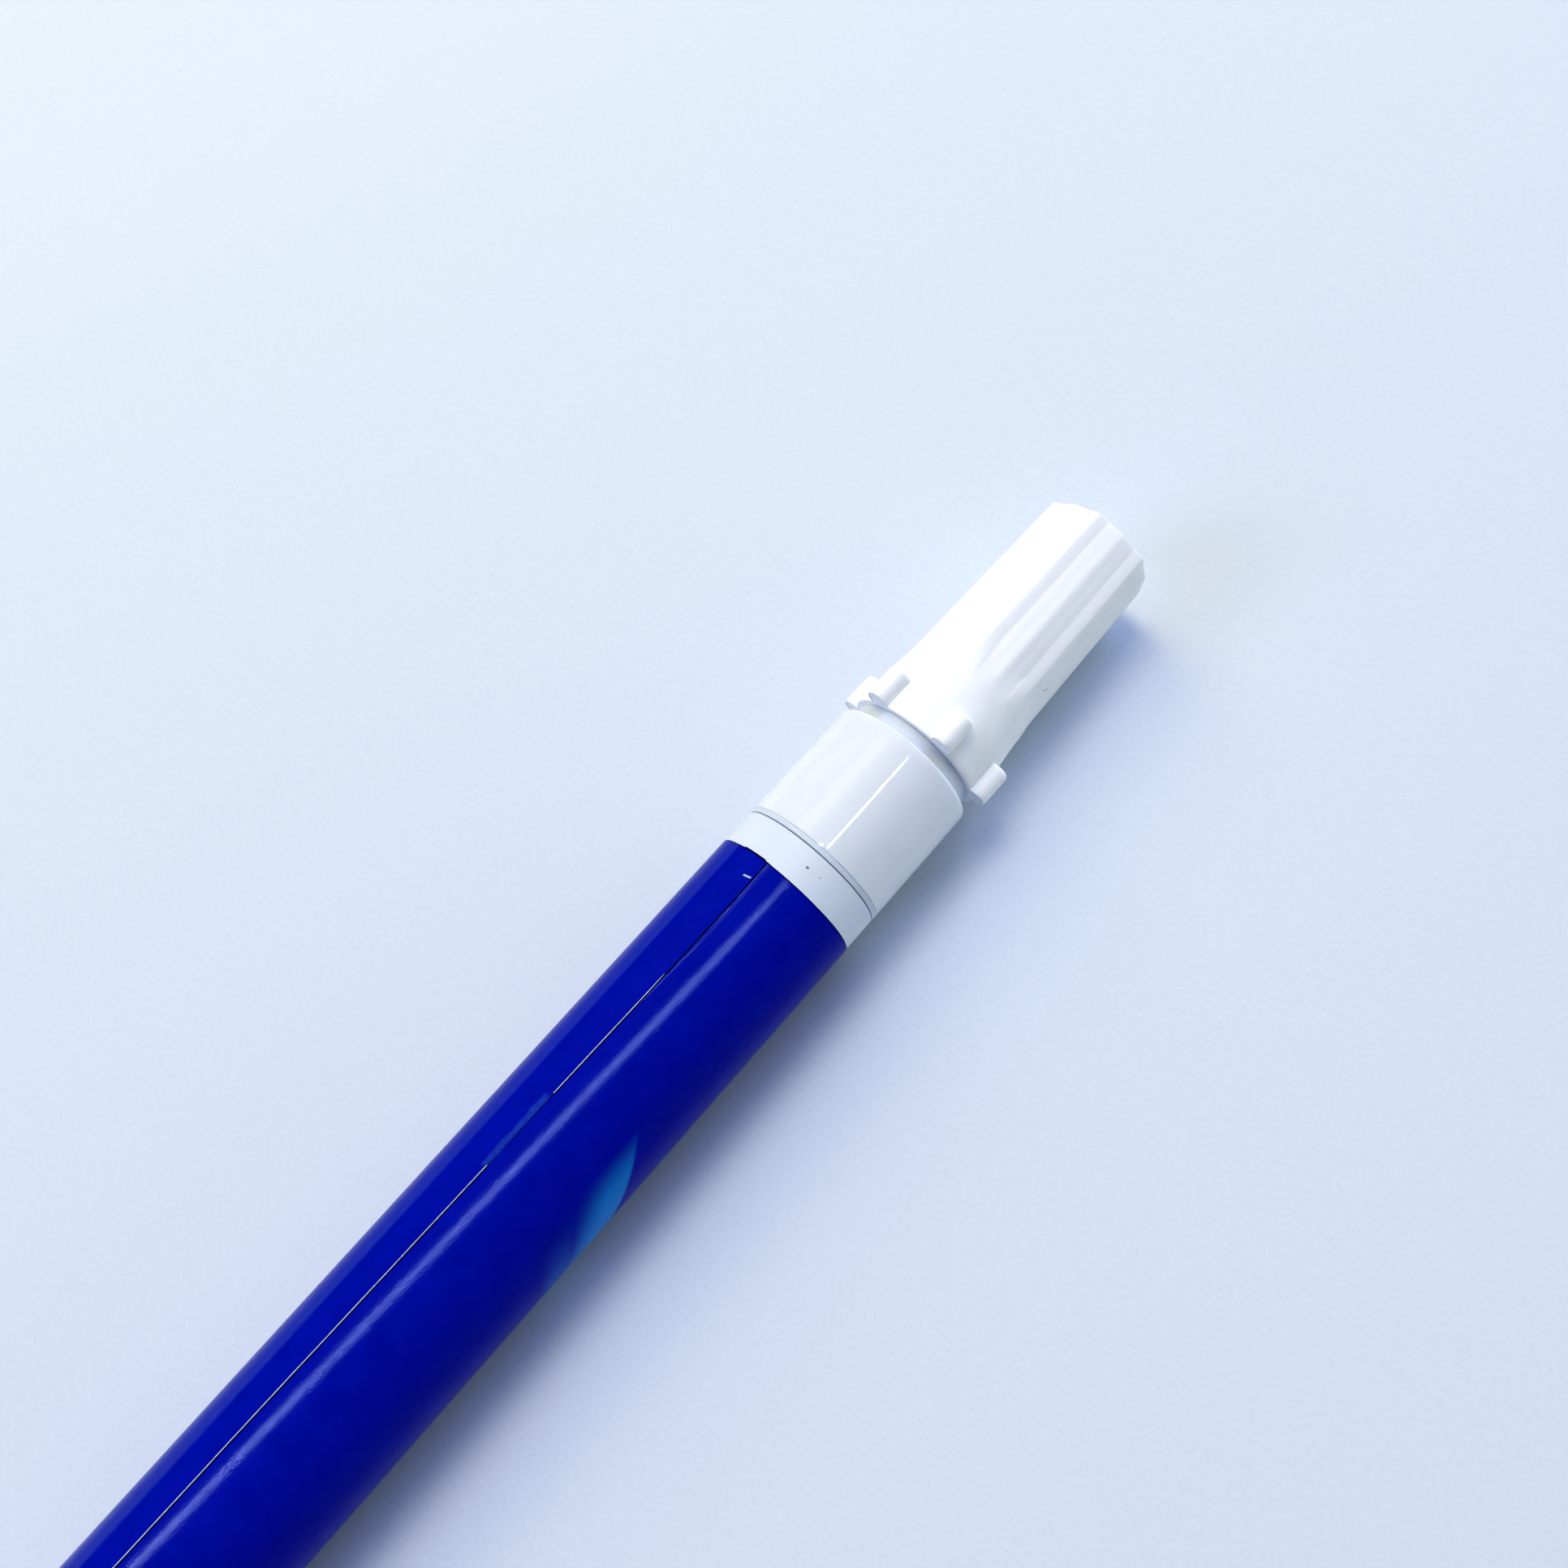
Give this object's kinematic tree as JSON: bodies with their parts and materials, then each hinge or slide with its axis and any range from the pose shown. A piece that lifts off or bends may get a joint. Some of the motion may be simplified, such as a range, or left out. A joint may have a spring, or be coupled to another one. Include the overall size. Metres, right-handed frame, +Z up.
{
  "type": "counterfeit detector pen",
  "caption": "Marker-type pen: straight tube with a lapped film label, glossy front sleeve and ribbed pull-off cap with anti-roll lugs. The fibre tip marks banknotes to show fakes.",
  "frame": {"origin": "centre of the tail plug's flat end face, on the pen's axis", "axes": "+X along the pen towards the cap, +Z up as the pen lies on a table, +Y to the left of +X"},
  "size_m": [0.14, 0.017, 0.0158],
  "materials": {
    "tube_white": "matt moulded polypropylene",
    "label_blue": "satin printed film",
    "section_white": "glossy moulded plastic",
    "cap_white": "semi-matt moulded plastic",
    "liner_natural": "natural, slightly milky",
    "nib_fibre": "bonded fibre, lightly stained by the solution",
    "reservoir_fibre": "loose fibre",
    "reservoir_skin": "clear thin film"
  },
  "bodies": {
    "pen": {"barrel_tube": "tube_white", "label_wrap": "label_blue", "tail_plug": "tube_white", "front_section": "section_white", "reservoir_core": "reservoir_fibre", "reservoir_film": "reservoir_skin", "nib": "nib_fibre"},
    "cap": {"cap_shell": "cap_white", "inner_cap": "liner_natural"}
  },
  "joints": [
    {"name": "cap_pull", "type": "slide", "parent": "pen", "child": "cap", "axis": [1, 0, 0], "range_m": [0, 0.035]}
  ]
}
